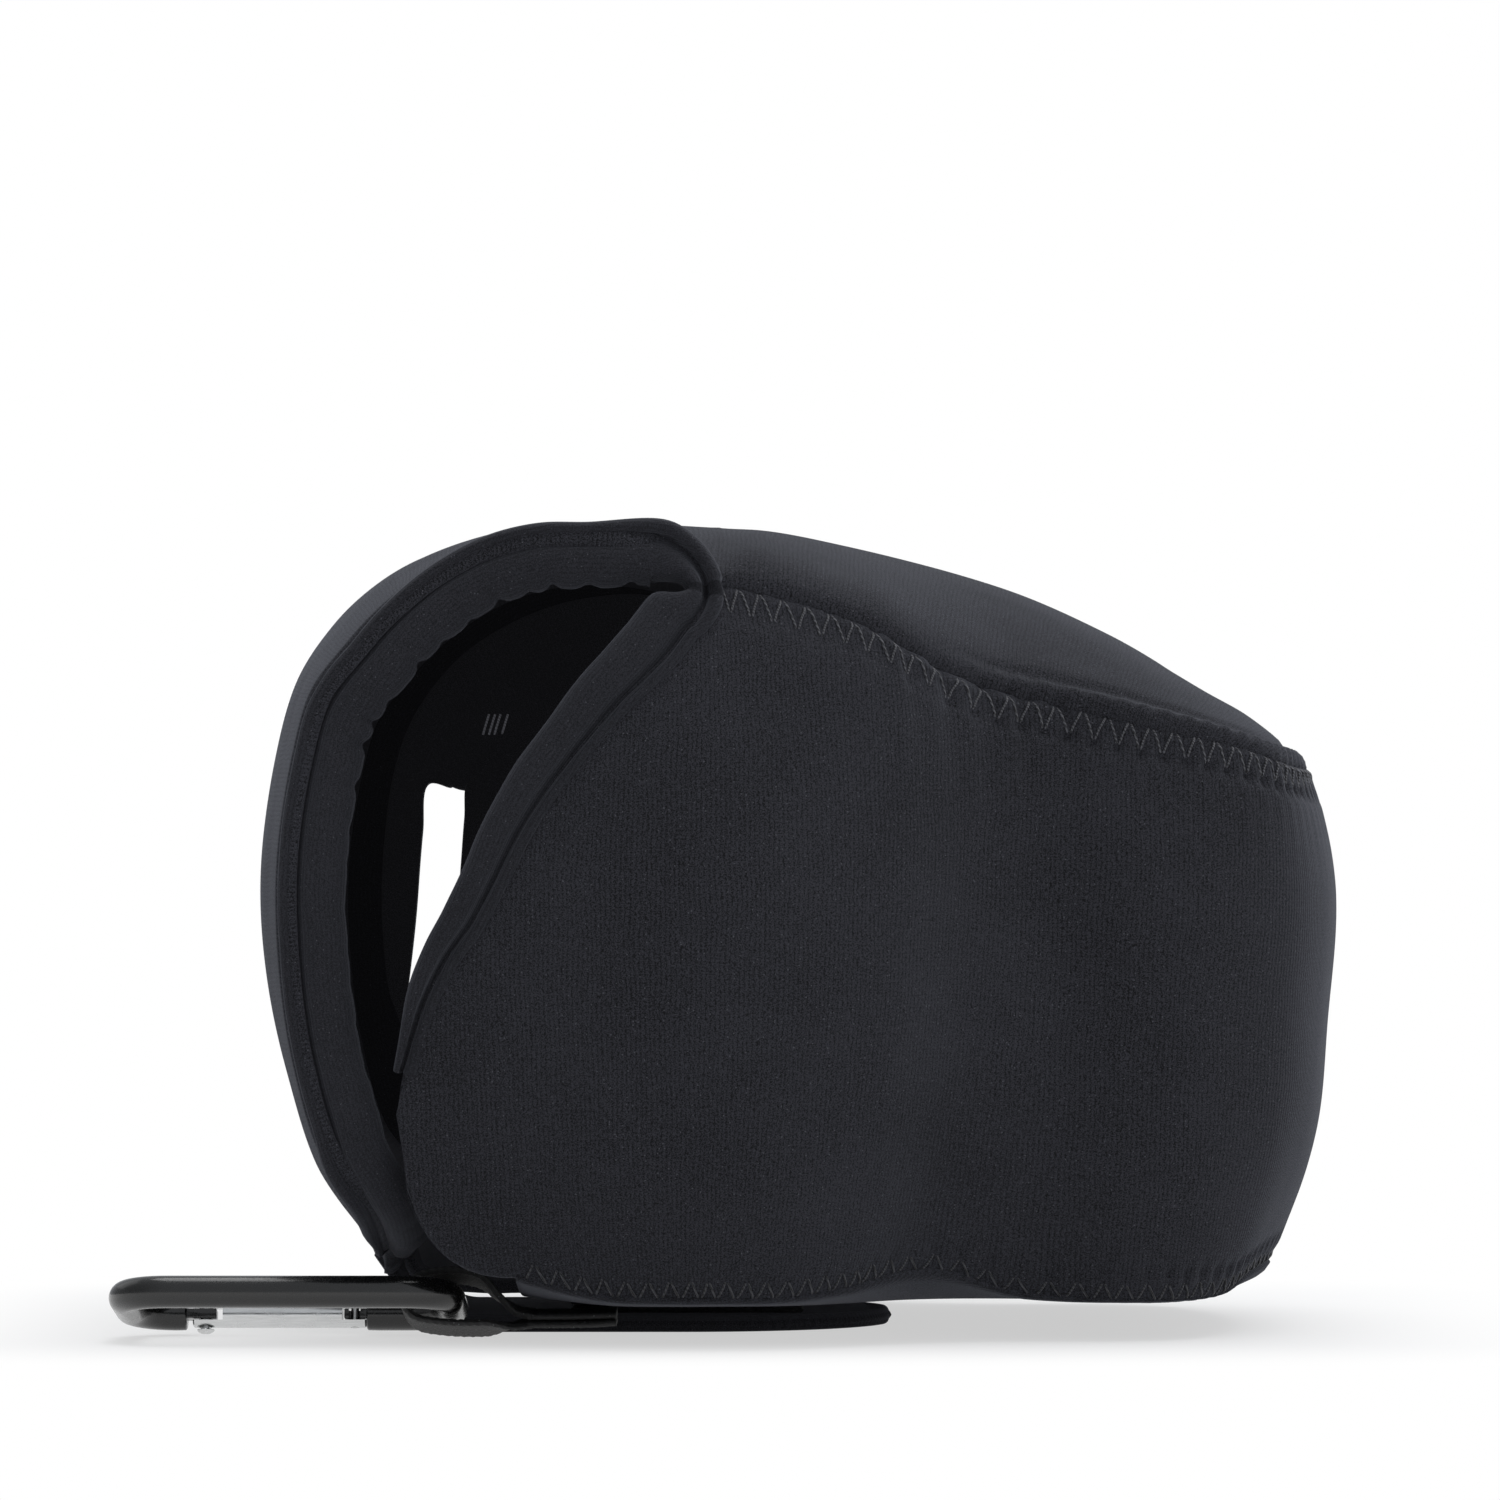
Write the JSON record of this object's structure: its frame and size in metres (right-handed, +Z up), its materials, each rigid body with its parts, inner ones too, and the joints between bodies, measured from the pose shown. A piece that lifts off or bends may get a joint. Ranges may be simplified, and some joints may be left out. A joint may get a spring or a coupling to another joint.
{
  "type": "camera case",
  "caption": "Soft fitted camera case with a lens end, a rear flap that closes under the base, side strap openings and a snap hook on a webbing loop.",
  "frame": {"origin": "on the flat underside of the closure tab, which the case stands on, midway between the two sides", "axes": "+X the way the lens points, +Z up, +Y to the left side of the case"},
  "size_m": [0.1662, 0.1382, 0.1114],
  "materials": {
    "fabric_black": "matt jersey face on foam fabric",
    "strip_black": "matt jersey strip",
    "thread_grey": "zigzag sewing thread",
    "patch_black": "hook and pile fastener",
    "webbing_black": "woven webbing",
    "black_metal": "gloss black",
    "silver_metal": "satin",
    "spring_steel": "bright"
  },
  "bodies": {
    "shell": {"wrap_panel": "fabric_black", "top_panel": "fabric_black", "bottom_panel": "fabric_black", "side_strip_right": "strip_black", "side_strip_left": "strip_black", "pile_patch": "patch_black", "webbing_root": "webbing_black", "top_seam_thread": "thread_grey", "bottom_seam_thread": "thread_grey"},
    "flap": {"rear_flap": "fabric_black", "flap_strip_right": "strip_black", "flap_strip_left": "strip_black"},
    "tab": {"closure_tab": "fabric_black", "hook_patch": "patch_black"},
    "loop": {"webbing_loop": "webbing_black"},
    "hook": {"hook_body": "black_metal", "gate_rivet": "silver_metal"},
    "gate": {"hook_gate": "silver_metal", "gate_spring": "spring_steel", "latch_pin": "spring_steel"}
  },
  "joints": [
    {"name": "flap_hinge", "type": "hinge", "parent": "shell", "child": "flap", "pos_m": [-0.0142, 0, 0.1113], "axis": [0, 1, 0], "range_deg": [0, 100]},
    {"name": "tab_hinge", "type": "hinge", "parent": "flap", "child": "tab", "pos_m": [-0.05195, 0, 0.0078], "axis": [0, 1, 0], "range_deg": [0, 60]},
    {"name": "loop_hinge", "type": "hinge", "parent": "shell", "child": "loop", "pos_m": [-0.03015, -0.038, 0.00185], "axis": [0, 1, 0], "range_deg": [-70, 0]},
    {"name": "hook_swing", "type": "hinge", "parent": "loop", "child": "hook", "pos_m": [-0.04145, -0.038, 0.00495], "axis": [0, 0.9781, -0.2079], "range_deg": [-80, 8]},
    {"name": "gate_hinge", "type": "hinge", "parent": "hook", "child": "gate", "pos_m": [-0.0751, -0.02788, 0.0028], "axis": [0, 0.2079, 0.9781], "range_deg": [-26, 0], "stiffness_Nm_per_rad": 0.02, "springref_deg": 17.19}
  ],
  "couplings": [
    {"joint": "tab_hinge", "follows": "flap_hinge", "ratio": 0.6}
  ]
}
